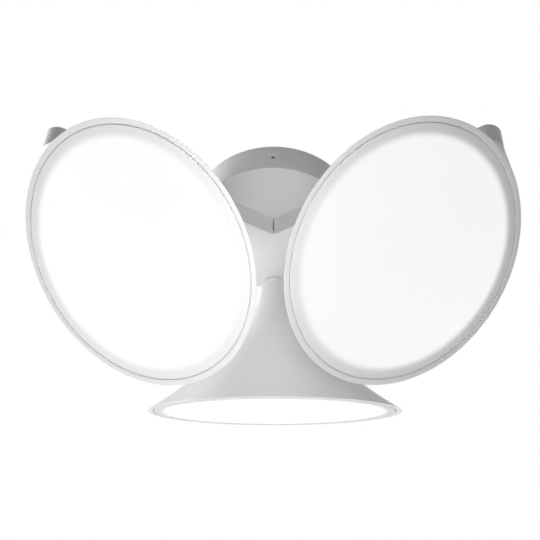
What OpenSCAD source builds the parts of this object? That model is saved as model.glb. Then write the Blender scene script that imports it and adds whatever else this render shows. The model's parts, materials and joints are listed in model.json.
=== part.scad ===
// Ceiling light: a round ceiling rose carries a three-armed frame, and under each arm
// hangs a lamp head that turns about an upright hollow pivot.
// Origin: middle of the rose's ceiling face. +Z is up, and the rear arm points along +Y.

/* [Ceiling rose] */
// Outer diameter of the ceiling rose
rose_d = 148; // [144:1:156]
// Height of the rose below the ceiling
rose_h = 32; // [32:1:36]
// Wall and floor thickness of the rose
rose_wall = 3; // [3:0.5:4]
// Thickness of the steel plate that is screwed to the ceiling
plate_t = 2.5; // [2:0.5:3]
// Distance between the middles of the two slots in the ceiling plate
slot_spacing = 72; // [68:1:76]
// Overall length of each slot
slot_length = 17; // [12:1:20]

/* [Frame] */
// Width of each arm
arm_w = 24; // [24:0.5:26]
// Height of each arm
arm_h = 22; // [21:0.5:24]
// Thickness of the underside of the frame
arm_floor = 4; // [4:0.5:4.5]
// Thickness of the side walls of the frame
arm_wall = 2; // [1.5:0.5:2]
// Radius of the inside corners between the arms
corner_r = 4.5; // [3:0.5:6]
// Width of the slit in each inside corner
slit_w = 1.2; // [1:0.1:1.6]

/* [Lamp heads] */
// Distance from the middle of the rose to each turning axis
head_reach = 134.5; // [134:0.5:140]
// Half the distance between the two rounded ends of a head's top
top_half = 84; // [80:1:84]
// Diameter of the lighting face
face_d = 240; // [230:1:240]
// Slope of the lighting face from the horizontal
face_tilt = 35; // [30:1:35]
// Drop from the underside of the frame to the middle of the lighting face
face_drop = 87; // [87:1:92]
// How far the middle of the lighting face lies inward of the turning axis
face_back = 2; // [0:0.5:3]
// Tightness of the bend where the shade's sides leave the vertical
flare_bend = 0.17; // [0.12:0.01:0.25]
// Wall thickness of the shade at its top
shade_wall = 2.5; // [2:0.5:3]
// Diameter of the opal diffuser
diffuser_d = 227.2; // [217:0.2:227.2]
// Width of the groove round the diffuser
groove_w = 1; // [0.6:0.1:1.2]
// Farthest that a head turns to each side
turn_limit = 165; // [150:1:165]

/* [Hidden] */
$fn = 96;
eps = 0.01;

HEADS = ["left", "right", "rear"];
HEAD_ANGLES = [210, 330, 90];
HEAD_PIECES = [
    "shade", "diffuser", "diffuser_springs", "led_board", "leds", "heat_plate", "hanger",
    "plate_screws", "pivot_tube", "pivot_nuts", "friction_washers", "stop_washer", "head_lead"
];
FIXED_PIECES = [
    "ceiling_plate", "cable_grommet", "earth_screw", "ceiling_rose", "rose_screws",
    "driver_case", "driver_cover", "driver_board", "driver_screws",
    "terminal_block", "terminal_screws", "rose_leads", "centre_nipple", "nipple_nuts",
    "frame_bolts", "arm_frame", "frame_lid", "lid_screws", "stop_pins", "arm_leads"
];

WHITE = "#f1f1f0";
OPAL = "#fdfdfb";
STEEL = "#b9bcc0";
ZINC = "#a9adb2";
ALUMINIUM = "#c9ccd0";
BRASS = "#c8a45c";
RUBBER = "#2b2c2e";
NYLON = "#e6e3da";
BOARD = "#2f6b4a";
WIRE = "#dcdcd8";

// Rose and ceiling plate
rose_r = rose_d / 2;
rose_floor_z = rose_wall - rose_h;
rose_edge = 1;
rose_screw_z = -rose_h / 2;
GAP_ANGLES = [-90, 30, 150];
disc_r = rose_r - 8;
tab_w = 14;
tab_face = rose_r - rose_wall - 1;
tab_bottom = rose_screw_z - 8;
m5_r = 2.45;
m5_hole_r = 2.75;
m5_thread_r = 2.5;
m5_head_r = 5;
m5_recess = 0.5;
m5_sink = 0.15;
m5_socket_r = 1.73;
m5_socket_h = 2;
rose_screw_l = 12;
nipple_hole_r = 5.2;
slot_r = 2.5;
entry_y = -32;
entry_r = 7;
entry_seat_r = 11;
entry_flange_r = 13;
earth_pos = [26, -34];
earth_hole_r = 2.05;
earth_washer_r = 4.5;
earth_washer_t = 0.8;
m4_r = 2;
m4_head_r = 3.8;
m4_head_h = 2.4;

// Driver and terminal block inside the rose
driver_l = 84;
driver_d = 40;
driver_y = 10;
driver_bottom = rose_floor_z + 6;
driver_top = -plate_t - 3.5;
driver_wall = 1.5;
driver_lid_t = 2;
lip_gap = 0.2;
lip_t = 1.2;
lip_h = 2;
TRANSFORMER = [20, 18, 8.5];
CHOKE = [12, 22, 6];
capacitor_r = 3.6;
capacitor_h = 8;
ear_l = 8;
ear_w = 10;
ear_t = 3;
ear_web = 2;
ear_hole_x = driver_l / 2 + ear_l / 2;
ear_hole_y = driver_y + driver_d / 2;
block_size = [30, 16, 14];
block_pos = [-46, -42];
pole_step = 10;
pole_z = 6;
pole_r = 2.1;
POLE_SCREWS = [4.5, 11.5];
pole_screw_r = 1.8;
pole_screw_l = 4;
pole_screw_z = 8.4;
pole_slot_w = 0.6;

// Frame
frame_top = -rose_h;
frame_bottom = -(rose_h + arm_h);
arm_half = arm_w / 2;
arm_reach = head_reach + top_half;
channel_half = arm_half - arm_wall;
channel_floor = frame_bottom + arm_floor;
lid_t = 2;
lid_gap = 0.15;
lid_bottom = frame_top - lid_t;
boss_r = 4.5;
bolt_reach = 30;
bolt_head_r = 4.25;
bolt_head_h = 5;
bolt_depth = 10;
lid_screw_reach = 200;
lid_screw_l = 9;
lid_screw_head_r = 3;
lid_sink_h = 1.6;
corner_reach = arm_half / sin(60);
corner_steps = 8;
slit_rise = 0.4;

// Hollow threaded tube, used for the centre nipple and for each pivot
tube_r = 4.95;
tube_bore = 3.5;
tube_thread_r = 5;
pivot_hole_r = 5.03;
nut_flats = 14;
nut_h = 5;
nipple_top = rose_floor_z + 9;
nipple_bottom = lid_bottom - 7;

// Pivot stack, heights counted from the underside of the frame
washer_t = 0.8;
washer_hole_r = 5.05;
lower_washer_r = 10.5;
upper_washer_r = 7.2;
stop_t = 1.5;
stop_z = arm_floor + washer_t;
stop_tab_r = 9.5;
stop_pin_r = 1;
stop_pin_reach = 8.6;
stop_pin_foot = 1.5;
stop_angle = asin(stop_pin_r / stop_pin_reach);
stop_tab_half = stop_pin_reach * sin(180 - turn_limit - stop_angle - 0.3);
upper_nut_z = stop_z + stop_t;
tube_top = upper_nut_z + nut_h + 1.7;
top_t = 3;
shade_top = -washer_t;
hanger_t = 2;
hanger_z = shade_top - top_t;
lower_nut_z = hanger_z - hanger_t - nut_h;
tube_bottom = lower_nut_z - 1.2;

// Lighting face, heights counted from its front and towards the ceiling
face_r = face_d / 2;
diffuser_r = diffuser_d / 2;
seat_r = diffuser_r + groove_w;
seat_depth = 2;
shade_mouth_r = seat_r - 0.6;
skirt_r = 99;
skirt_t = 2;
skirt_h = 5;
heat_plate_r = 75;
heat_plate_t = 2;
heat_plate_z = 18;
board_r = 72;
board_t = 1.6;
board_z = heat_plate_z - board_t;
led_size = 3.5;
led_h = 0.8;
LED_RINGS = [[0, 1], [20, 6], [40, 12], [62, 18]];
board_screw_reach = 54;
BOARD_SCREWS = [45, 135, 225, 315];
SPRINGS = [0, 120, 240];
spring_t = 1;
spring_w = 10;
spring_start = 63;
spring_bend = 80;
spring_screw_reach = 69;
m3_r = 1.45;
m3_hole_r = 1.5;
m3_clear_r = 1.6;
m3_head_r = 2.75;
m3_socket_r = 1.15;
m3_head_h = 1.6;
hanger_w = 16;
hanger_back = 11;
leg_x = 19;
foot_l = 22;
lead_hole_x = 15.8;
lead_hole_r = 4;
FOOT_SCREWS = [7, 15];

// Leads
lead_r = 1.6;
arm_lead_r = 1.45;
rose_lead_r = 2;
lead_sides = 8;
lead_join_z = nipple_top - 2;
lead_run_z = frame_bottom + 10;
lead_over_z = frame_bottom + tube_top + 2.4;
lead_end_z = frame_bottom + tube_top + 0.3;
lead_side = 6.5;
lead_entry = 4 + driver_wall + 1;
ARM_LEAD_ROUTE = [
    [1.75, 0, lead_join_z], [1.75, 0, lead_run_z], [12, lead_side, lead_run_z],
    [head_reach - 17, lead_side, lead_run_z], [head_reach - 4, 2, lead_over_z],
    [head_reach, 0, lead_over_z], [head_reach, 0, lead_end_z]
];
mains_exit = [-16, driver_y - 4, -14];
output_exit = [0, driver_y - 4, -13];
pole_end = [block_pos[0] + 2.5 * pole_step, block_pos[1] + block_size[1], rose_floor_z + pole_z];
MAINS_LEAD_ROUTE = [
    pole_end - [0, 3, 0], pole_end + [0, 3, 0], [-18, -12, -18], mains_exit, mains_exit + [0, lead_entry, 0]
];
OUTPUT_LEAD_ROUTE = [
    output_exit + [0, lead_entry, 0], output_exit, [0, 1, -15], [0, 0, -18], [0, 0, lead_join_z + 0.1]
];

// Frames of reference

module at_head(angle) {
    rotate([0, 0, angle])
    translate([head_reach, 0, frame_bottom])
    children();
}

// The lighting face looks along the local -Z axis, and its outer edge is on the local +X side.
module at_face() {
    translate([-face_back, 0, -face_drop])
    rotate([0, -face_tilt, 0])
    children();
}

module at_each(angles) {
    for (a = angles)
        rotate([0, 0, a])
        children();
}

// Shapes used by several pieces

module tube(r_out, r_in, h) {
    difference() {
        cylinder(r = r_out, h = h);
        translate([0, 0, -1])
        cylinder(r = r_in, h = h + 2);
    }
}

module hex_nut(h) {
    difference() {
        cylinder(r = nut_flats / sqrt(3), h = h, $fn = 6);
        translate([0, 0, -1])
        cylinder(r = tube_thread_r, h = h + 2);
    }
}

// A pan-head screw whose head rests on z = 0 and whose shank points down
module pan_screw(r, length, head_r, head_h) {
    difference() {
        union() {
            cylinder(r = head_r, h = head_h);
            translate([0, 0, -length])
            cylinder(r = r, h = length + eps);
        }
        translate([0, 0, head_h * 0.4])
        cylinder(r = head_r * 0.4, h = head_h, $fn = 6);
    }
}

function unit(v) = v / norm(v);

// Direction of a route at point i: the mean of the two stretches that meet there
function route_dir(route, i) =
    let (
        last = len(route) - 1,
        before = route[i] - route[max(i - 1, 0)],
        after = route[min(i + 1, last)] - route[i]
    )
    i == 0 ? unit(after) : i == last ? unit(before) : unit(unit(before) + unit(after));

// A ring of points round a route point, square to the route
function route_ring(route, i, r) =
    let (
        dir = route_dir(route, i),
        seed = abs(dir[0]) > 0.9 ? [0, 1, 0] : [1, 0, 0],
        side = unit(cross(dir, seed)),
        up = cross(dir, side)
    )
    [for (k = [0:lead_sides - 1])
        let (a = 360 * k / lead_sides)
        route[i] + r * (cos(a) * side + sin(a) * up)];

module lead(route, r) {
    rings = len(route);
    points = [for (i = [0:rings - 1]) each route_ring(route, i, r)];
    walls = [for (i = [0:rings - 2]) for (k = [0:lead_sides - 1])
        let (
            a = i * lead_sides + k,
            b = i * lead_sides + (k + 1) % lead_sides
        )
        each [[a, b + lead_sides, b], [a, a + lead_sides, b + lead_sides]]];
    start = [for (k = [0:lead_sides - 1]) k];
    end = [for (k = [0:lead_sides - 1]) rings * lead_sides - 1 - k];
    polyhedron(points, concat(walls, [start, end]));
}

// Fixed pieces at the ceiling

module ceiling_plate() {
    color(ZINC)
    difference() {
        union() {
            translate([0, 0, -plate_t])
            cylinder(r = disc_r, h = plate_t);
            at_each(GAP_ANGLES) {
                translate([disc_r - 8, -tab_w / 2, -plate_t])
                cube([tab_face - disc_r + 8, tab_w, plate_t]);
                translate([tab_face - plate_t, -tab_w / 2, tab_bottom])
                cube([plate_t, tab_w, -tab_bottom]);
            }
        }
        at_each(GAP_ANGLES)
            translate([tab_face - 2 * plate_t, 0, rose_screw_z])
            rotate([0, 90, 0])
            cylinder(r = m5_thread_r, h = 3 * plate_t);
        for (side = [-1, 1])
            translate([side * slot_spacing / 2, 0, -2 * plate_t])
            linear_extrude(3 * plate_t)
            slot_outline();
        translate([0, entry_y, -2 * plate_t])
        cylinder(r = entry_seat_r, h = 3 * plate_t);
        translate([earth_pos[0], earth_pos[1], -2 * plate_t])
        cylinder(r = earth_hole_r, h = 3 * plate_t);
    }
}

module slot_outline() {
    run = slot_length - 2 * slot_r;
    union() {
        square([run, 2 * slot_r], center = true);
        for (side = [-1, 1])
            translate([side * run / 2, 0])
            circle(r = slot_r);
    }
}

module cable_grommet() {
    color(RUBBER)
    translate([0, entry_y, 0])
    difference() {
        union() {
            translate([0, 0, -plate_t])
            cylinder(r = entry_seat_r, h = plate_t);
            translate([0, 0, -2 * plate_t])
            cylinder(r = entry_flange_r, h = plate_t);
        }
        translate([0, 0, -3 * plate_t])
        cylinder(r = entry_r, h = 4 * plate_t);
    }
}

module earth_screw() {
    color(BRASS)
    translate([earth_pos[0], earth_pos[1], -plate_t])
    mirror([0, 0, 1])
    union() {
        cylinder(r = earth_washer_r, h = earth_washer_t);
        translate([0, 0, earth_washer_t])
        pan_screw(m4_r, earth_washer_t + plate_t - 0.4, m4_head_r, m4_head_h);
    }
}

module ceiling_rose() {
    color(WHITE)
    difference() {
        rotate_extrude()
        polygon([
            [0, -rose_h], [rose_r - rose_edge, -rose_h], [rose_r, rose_edge - rose_h], [rose_r, 0],
            [rose_r - rose_wall, 0], [rose_r - rose_wall, rose_floor_z], [0, rose_floor_z]
        ]);
        at_each(GAP_ANGLES)
            translate([rose_r - rose_wall, 0, rose_screw_z])
            rotate([0, 90, 0]) {
                translate([0, 0, -1])
                cylinder(r = m5_hole_r, h = rose_wall + 2);
                translate([0, 0, m5_sink])
                cylinder(r1 = m5_hole_r, r2 = m5_hole_r + rose_wall, h = rose_wall);
            }
        translate([0, 0, -rose_h - 1])
        cylinder(r = nipple_hole_r, h = rose_wall + 2);
        at_each(HEAD_ANGLES)
            translate([bolt_reach, 0, -rose_h - 1])
            cylinder(r = m5_hole_r, h = rose_wall + 2);
        for (side = [-1, 1])
            translate([side * ear_hole_x, ear_hole_y, rose_floor_z - 2])
            cylinder(r = m3_hole_r, h = 3);
    }
}

module rose_screws() {
    head_out = rose_r - m5_recess;
    head_depth = m5_head_r - m5_r;
    color(STEEL)
    at_each(GAP_ANGLES)
        difference() {
            union() {
                translate([head_out - head_depth, 0, rose_screw_z])
                rotate([0, 90, 0])
                cylinder(r1 = m5_r, r2 = m5_head_r, h = head_depth);
                translate([head_out - rose_screw_l, 0, rose_screw_z])
                rotate([0, 90, 0])
                cylinder(r = m5_r, h = rose_screw_l - head_depth + eps);
            }
            translate([head_out - m5_socket_h, 0, rose_screw_z])
            rotate([0, 90, 0])
            cylinder(r = m5_socket_r, h = m5_socket_h + 1, $fn = 6);
        }
}

module driver_case() {
    color(WHITE)
    difference() {
        union() {
            translate([-driver_l / 2, driver_y, driver_bottom])
            cube([driver_l, driver_d, driver_top - driver_lid_t - driver_bottom]);
            for (side = [-1, 1])
                translate([side * ear_hole_x, ear_hole_y, rose_floor_z])
                ear(side);
        }
        translate([-driver_l / 2 + driver_wall, driver_y + driver_wall, driver_bottom + driver_wall])
        cube([driver_l - 2 * driver_wall, driver_d - 2 * driver_wall, driver_top - driver_bottom]);
        for (side = [-1, 1])
            translate([side * ear_hole_x, ear_hole_y, rose_floor_z - 1])
            cylinder(r = m3_clear_r, h = ear_t + 9);
        for (exit = [mains_exit, output_exit])
            translate(exit)
            rotate([-90, 0, 0])
            cylinder(r = pole_r, h = lead_entry);
    }
}

// A foot that stands on the rose's floor and runs up beside the case
module ear(side) {
    step = ear_l / 2;
    translate([-step, -ear_w / 2, 0])
    cube([ear_l, ear_w, ear_t]);
    translate([-side * step - ear_web / 2, -ear_w / 2, 0])
    cube([ear_web, ear_w, driver_bottom - rose_floor_z + 4]);
}

module driver_cover() {
    color(WHITE)
    translate([-driver_l / 2, driver_y, driver_top - driver_lid_t])
    union() {
        cube([driver_l, driver_d, driver_lid_t]);
        for (y = [driver_wall + lip_gap, driver_d - driver_wall - lip_gap - lip_t])
            translate([driver_wall + lip_gap, y, -lip_h])
            cube([driver_l - 2 * (driver_wall + lip_gap), lip_t, lip_h + eps]);
    }
}

module driver_board() {
    base = driver_bottom + driver_wall;
    on_board = base + board_t - 0.1;
    side_gap = 4;
    color(BOARD)
    union() {
        translate([side_gap - driver_l / 2, driver_y + side_gap, base])
        cube([driver_l - 2 * side_gap, driver_d - 2 * side_gap, board_t]);
        translate([-12, driver_y + 11, on_board])
        cube(TRANSFORMER);
        for (x = [-30, -21])
            translate([x, driver_y + 14, on_board])
            cylinder(r = capacitor_r, h = capacitor_h);
        translate([18, driver_y + 9, on_board])
        cube(CHOKE);
    }
}

module driver_screws() {
    color(STEEL)
    for (side = [-1, 1])
        translate([side * ear_hole_x, ear_hole_y, rose_floor_z + ear_t])
        pan_screw(m3_r, ear_t + 1.8, m3_head_r, m3_head_h);
}

module terminal_block() {
    color(WHITE)
    translate([block_pos[0], block_pos[1], rose_floor_z])
    difference() {
        cube(block_size);
        for (i = [0:2])
            translate([pole_step * (i + 0.5), 0, 0]) {
                translate([0, -1, pole_z])
                rotate([-90, 0, 0])
                cylinder(r = pole_r, h = block_size[1] + 2);
                for (y = POLE_SCREWS)
                    translate([0, y, pole_z])
                    cylinder(r = pole_screw_r + 0.2, h = block_size[2]);
            }
    }
}

module terminal_screws() {
    color(BRASS)
    for (i = [0:2])
        for (y = POLE_SCREWS)
            translate([block_pos[0] + pole_step * (i + 0.5), block_pos[1] + y, rose_floor_z + pole_screw_z])
            difference() {
                cylinder(r = pole_screw_r, h = pole_screw_l);
                translate([-pole_screw_r - 1, -pole_slot_w / 2, pole_screw_l - 1])
                cube([2 * pole_screw_r + 2, pole_slot_w, 2]);
            }
}

module rose_leads() {
    color(WIRE) {
        lead(MAINS_LEAD_ROUTE, rose_lead_r);
        lead(OUTPUT_LEAD_ROUTE, rose_lead_r);
    }
}

module centre_nipple() {
    color(ZINC)
    translate([0, 0, nipple_bottom])
    tube(tube_r, tube_bore, nipple_top - nipple_bottom);
}

module nipple_nuts() {
    color(ZINC) {
        translate([0, 0, rose_floor_z])
        hex_nut(nut_h - 1);
        translate([0, 0, lid_bottom - nut_h + 1])
        hex_nut(nut_h - 1);
    }
}

module frame_bolts() {
    color(STEEL)
    at_each(HEAD_ANGLES)
        translate([bolt_reach, 0, rose_floor_z])
        pan_screw(m5_r, rose_floor_z - lid_bottom + bolt_depth, bolt_head_r, bolt_head_h);
}

// Fixed pieces of the frame

module arms_outline(half) {
    union()
    at_each(HEAD_ANGLES) {
        translate([0, -half])
        square([arm_reach, 2 * half]);
        translate([arm_reach, 0])
        circle(r = half);
    }
}

// One straight arm's outer corners, then the round of the inside corner that follows it
function arm_edge(angle) =
    let (
        middle = (corner_reach + corner_r / sin(60)) * [cos(angle + 60), sin(angle + 60)]
    )
    concat(
        [for (side = [-1, 1])
            [arm_reach * cos(angle) - side * arm_half * sin(angle),
             arm_reach * sin(angle) + side * arm_half * cos(angle)]],
        [for (i = [0:corner_steps])
            let (a = angle + 60 + 210 - 60 * i / corner_steps)
            middle + corner_r * [cos(a), sin(a)]]
    );

module frame_outline() {
    union() {
        polygon([for (angle = HEAD_ANGLES) each arm_edge(angle)]);
        at_each(HEAD_ANGLES)
            translate([arm_reach, 0])
            circle(r = arm_half);
    }
}

module arm_frame() {
    color(WHITE)
    difference() {
        union() {
            difference() {
                translate([0, 0, frame_bottom])
                linear_extrude(arm_h)
                frame_outline();
                translate([0, 0, channel_floor])
                linear_extrude(arm_h)
                arms_outline(channel_half);
            }
            at_each(HEAD_ANGLES)
                for (x = [bolt_reach, lid_screw_reach])
                    translate([x, 0, channel_floor - 1])
                    cylinder(r = boss_r, h = lid_bottom - channel_floor + 1);
        }
        at_each(HEAD_ANGLES) {
            translate([head_reach, 0, frame_bottom - 1])
            cylinder(r = pivot_hole_r, h = arm_floor + 2);
            translate([head_reach - stop_pin_reach, 0, frame_bottom + stop_pin_foot])
            cylinder(r = stop_pin_r + 0.02, h = arm_floor);
            translate([bolt_reach, 0, lid_bottom - bolt_depth - 1])
            cylinder(r = m5_thread_r, h = bolt_depth + 2);
            translate([lid_screw_reach, 0, frame_top - lid_screw_l - 1])
            cylinder(r = m3_hole_r, h = lid_screw_l);
        }
        at_each(GAP_ANGLES)
            translate([corner_reach - 6, -slit_w / 2, channel_floor + slit_rise])
            cube([16, slit_w, arm_h]);
    }
}

module frame_lid() {
    color(WHITE)
    difference() {
        translate([0, 0, lid_bottom])
        linear_extrude(lid_t)
        arms_outline(channel_half - lid_gap);
        translate([0, 0, lid_bottom - 1])
        cylinder(r = nipple_hole_r, h = lid_t + 2);
        at_each(HEAD_ANGLES) {
            translate([bolt_reach, 0, lid_bottom - 1])
            cylinder(r = m5_hole_r, h = lid_t + 2);
            translate([lid_screw_reach, 0, lid_bottom - 1])
            cylinder(r = m3_clear_r, h = lid_t + 2);
            translate([lid_screw_reach, 0, frame_top - lid_sink_h])
            cylinder(r1 = m3_clear_r, r2 = m3_clear_r + lid_sink_h + 0.2, h = lid_sink_h + 0.2);
        }
    }
}

module lid_screws() {
    color(STEEL)
    at_each(HEAD_ANGLES)
        translate([lid_screw_reach, 0, frame_top])
        difference() {
            union() {
                translate([0, 0, -lid_sink_h])
                cylinder(r1 = m3_r, r2 = lid_screw_head_r, h = lid_screw_head_r - m3_r);
                translate([0, 0, -lid_screw_l])
                cylinder(r = m3_r, h = lid_screw_l - lid_sink_h + 0.1);
            }
            translate([0, 0, -1])
            cylinder(r = m3_socket_r, h = 2, $fn = 6);
        }
}

module stop_pins() {
    color(STEEL)
    at_each(HEAD_ANGLES)
        translate([head_reach - stop_pin_reach, 0, frame_bottom + stop_pin_foot])
        cylinder(r = stop_pin_r, h = stop_z + stop_t - stop_pin_foot);
}

module arm_leads() {
    color(WIRE)
    at_each(HEAD_ANGLES)
        lead(ARM_LEAD_ROUTE, arm_lead_r);
}

// Pieces of one lamp head, drawn with the turning axis on Z and the arm's underside at z = 0

// Share of the way from the narrow top to the wide rim at depth share s
function flare(s) =
    (sqrt(s * s + flare_bend * flare_bend) - flare_bend)
    / (sqrt(1 + flare_bend * flare_bend) - flare_bend);

// A point of the shade's surface, at angle a round it and depth share s
function shade_point(a, s, r_top, z_top, r_rim) =
    let (
        x_top = (top_half + r_top) * cos(a),
        past = max(0, abs(x_top) - top_half),
        y_top = sign(sin(a)) * sqrt(max(0, r_top * r_top - past * past)),
        x_rim = r_rim * cos(face_tilt) * cos(a) - face_back,
        y_rim = r_rim * sin(a),
        z_rim = r_rim * sin(face_tilt) * cos(a) - face_drop
    )
    [x_top + (x_rim - x_top) * s, y_top + (y_rim - y_top) * flare(s), z_top + (z_rim - z_top) * s];

// The solid between a narrow top with round ends and the tilted round rim
module shade_solid(r_top, z_top, r_rim, depth_share, sides, rings) {
    points = [for (i = [0:rings]) for (k = [0:sides - 1])
        shade_point(360 * k / sides, depth_share * i / rings, r_top, z_top, r_rim)];
    walls = [for (i = [0:rings - 1]) for (k = [0:sides - 1])
        let (
            a = i * sides + k,
            b = i * sides + (k + 1) % sides
        )
        each [[a, b, b + sides], [a, b + sides, a + sides]]];
    top = [for (k = [0:sides - 1]) sides - 1 - k];
    mouth = [for (k = [0:sides - 1]) rings * sides + k];
    polyhedron(points, concat(walls, [top, mouth]));
}

module shade() {
    color(WHITE)
    difference() {
        shade_solid(arm_half, shade_top, face_r, 1, 64, 10);
        shade_solid(arm_half - shade_wall, shade_top - top_t, shade_mouth_r, 1.02, 40, 7);
        translate([0, 0, shade_top - top_t - 1])
        cylinder(r = tube_thread_r, h = top_t + 2);
        at_face()
            translate([0, 0, -2])
            cylinder(r = seat_r, h = seat_depth + 2);
    }
}

module diffuser() {
    color(OPAL)
    at_face()
        union() {
            cylinder(r = diffuser_r, h = seat_depth);
            translate([0, 0, seat_depth - eps])
            tube(skirt_r, skirt_r - skirt_t, skirt_h);
        }
}

// Three strips that run from the heat plate to the diffuser's skirt and hold it by friction
module diffuser_springs() {
    back = heat_plate_z + heat_plate_t;
    grip = skirt_r - skirt_t;
    color(STEEL)
    at_face()
        at_each(SPRINGS)
            difference() {
                rotate([90, 0, 0])
                linear_extrude(spring_w, center = true)
                polygon([
                    [spring_start, back + spring_t], [spring_bend + 0.4, back + spring_t],
                    [grip - 2, 9.6], [grip - 0.1, 5.5], [grip - 2, 2.6],
                    [grip - 2.8, 3.2], [grip - 1.3, 5.5], [grip - 2.9, 8.9],
                    [spring_bend, back], [spring_start, back]
                ]);
                translate([spring_screw_reach, 0, back - 1])
                cylinder(r = m3_hole_r, h = 3);
            }
}

module led_board() {
    color(WHITE)
    at_face()
        difference() {
            translate([0, 0, board_z])
            cylinder(r = board_r, h = board_t);
            at_each(BOARD_SCREWS)
                translate([board_screw_reach, 0, board_z - 1])
                cylinder(r = m3_hole_r, h = board_t + 2);
            for (d = FOOT_SCREWS)
                translate([foot_start() + d, 0, board_z - 1])
                cylinder(r = m3_hole_r, h = board_t + 2);
        }
}

module leds() {
    color("#f4dd6b")
    at_face()
        for (ring = LED_RINGS)
            for (i = [0:ring[1] - 1])
                rotate([0, 0, 360 * i / ring[1]])
                translate([ring[0], 0, board_z - led_h / 2])
                cube([led_size, led_size, led_h], center = true);
}

module heat_plate() {
    color(ALUMINIUM)
    at_face()
        difference() {
            translate([0, 0, heat_plate_z])
            cylinder(r = heat_plate_r, h = heat_plate_t);
            translate([lead_hole_x, 0, heat_plate_z - 1])
            cylinder(r = lead_hole_r, h = heat_plate_t + 2);
            at_each(BOARD_SCREWS)
                translate([board_screw_reach, 0, heat_plate_z - 1])
                cylinder(r = m3_hole_r, h = heat_plate_t + 2);
            at_each(SPRINGS)
                translate([spring_screw_reach, 0, heat_plate_z - 1])
                cylinder(r = m3_hole_r, h = heat_plate_t + 2);
            for (d = FOOT_SCREWS)
                translate([foot_start() + d, 0, heat_plate_z - 1])
                cylinder(r = m3_hole_r, h = heat_plate_t + 2);
        }
}

// Where the hanger's leg meets the back of the heat plate, along the face's own X axis
function foot_start() =
    (leg_x + face_back + (heat_plate_z + heat_plate_t) * sin(face_tilt)) / cos(face_tilt);

// A point of the face's own X and Z axes, as seen from the turning axis
function face_point(x, z) = [
    x * cos(face_tilt) - z * sin(face_tilt) - face_back,
    x * sin(face_tilt) + z * cos(face_tilt) - face_drop
];

// A bent strip: its top is clamped under the shade's top and its foot carries the heat plate
module hanger() {
    back = heat_plate_z + heat_plate_t;
    start = foot_start();
    corner = face_point(start, back);
    tip_low = face_point(start + foot_l, back);
    tip_high = face_point(start + foot_l, back + hanger_t);
    inner = face_point(start + hanger_t * (1 + sin(face_tilt)) / cos(face_tilt), back + hanger_t);
    color(ZINC)
    difference() {
        rotate([90, 0, 0])
        linear_extrude(hanger_w, center = true)
        polygon([
            [-hanger_back, hanger_z], [leg_x + hanger_t, hanger_z], inner, tip_high,
            tip_low, corner, [leg_x, hanger_z - hanger_t], [-hanger_back, hanger_z - hanger_t]
        ]);
        translate([0, 0, hanger_z - hanger_t - 1])
        cylinder(r = tube_thread_r, h = hanger_t + 2);
        at_face()
            for (d = FOOT_SCREWS)
                translate([start + d, 0, back - 1])
                cylinder(r = m3_hole_r, h = hanger_t + 2);
    }
}

// Screws of the board, the springs and the hanger's foot
module plate_screws() {
    back = heat_plate_z + heat_plate_t;
    color(STEEL)
    at_face() {
        at_each(BOARD_SCREWS)
            translate([board_screw_reach, 0, board_z])
            mirror([0, 0, 1])
            pan_screw(m3_r, board_t + heat_plate_t, m3_head_r, m3_head_h);
        at_each(SPRINGS)
            translate([spring_screw_reach, 0, back + spring_t])
            pan_screw(m3_r, heat_plate_t + spring_t - 0.2, m3_head_r, m3_head_h);
        for (d = FOOT_SCREWS)
            translate([foot_start() + d, 0, board_z])
            mirror([0, 0, 1])
            pan_screw(m3_r, board_t + heat_plate_t + hanger_t, m3_head_r, m3_head_h);
    }
}

module pivot_tube() {
    color(BRASS)
    translate([0, 0, tube_bottom])
    tube(tube_r, tube_bore, tube_top - tube_bottom);
}

module pivot_nuts() {
    color(BRASS)
    for (z = [upper_nut_z, lower_nut_z])
        translate([0, 0, z])
        hex_nut(nut_h);
}

module friction_washers() {
    color(NYLON) {
        translate([0, 0, -washer_t])
        tube(lower_washer_r, washer_hole_r, washer_t);
        translate([0, 0, arm_floor])
        tube(upper_washer_r, washer_hole_r, washer_t);
    }
}

// Its tab meets the pin in the arm at either end of the turn
module stop_washer() {
    color(STEEL)
    translate([0, 0, stop_z])
    difference() {
        union() {
            cylinder(r = upper_washer_r, h = stop_t);
            translate([upper_washer_r - 1, -stop_tab_half, 0])
            cube([stop_tab_r - upper_washer_r + 1, 2 * stop_tab_half, stop_t]);
        }
        translate([0, 0, -1])
        cylinder(r = tube_thread_r, h = stop_t + 2);
    }
}

// Ends on the back of the board, whose slope it clears by its own radius
module head_lead() {
    meet = face_back + heat_plate_z * sin(face_tilt);
    board_back = meet * tan(face_tilt) + heat_plate_z * cos(face_tilt) - face_drop;
    end_z = board_back + lead_r * tan(face_tilt);
    color(WIRE)
    translate([0, 0, end_z])
    cylinder(r = lead_r, h = tube_top + 0.1 - end_z);
}

// The whole light

ceiling_plate();
cable_grommet();
earth_screw();
ceiling_rose();
rose_screws();
driver_case();
driver_cover();
driver_board();
driver_screws();
terminal_block();
terminal_screws();
rose_leads();
centre_nipple();
nipple_nuts();
frame_bolts();
arm_frame();
frame_lid();
lid_screws();
stop_pins();
arm_leads();

for (i = [0:2])
    at_head(HEAD_ANGLES[i]) {
        name = HEADS[i];
        shade();
        diffuser();
        diffuser_springs();
        led_board();
        leds();
        heat_plate();
        hanger();
        plate_screws();
        pivot_tube();
        pivot_nuts();
        friction_washers();
        stop_washer();
        head_lead();
    }
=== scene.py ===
import json
import math

import bpy
from mathutils import Matrix, Vector


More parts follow.
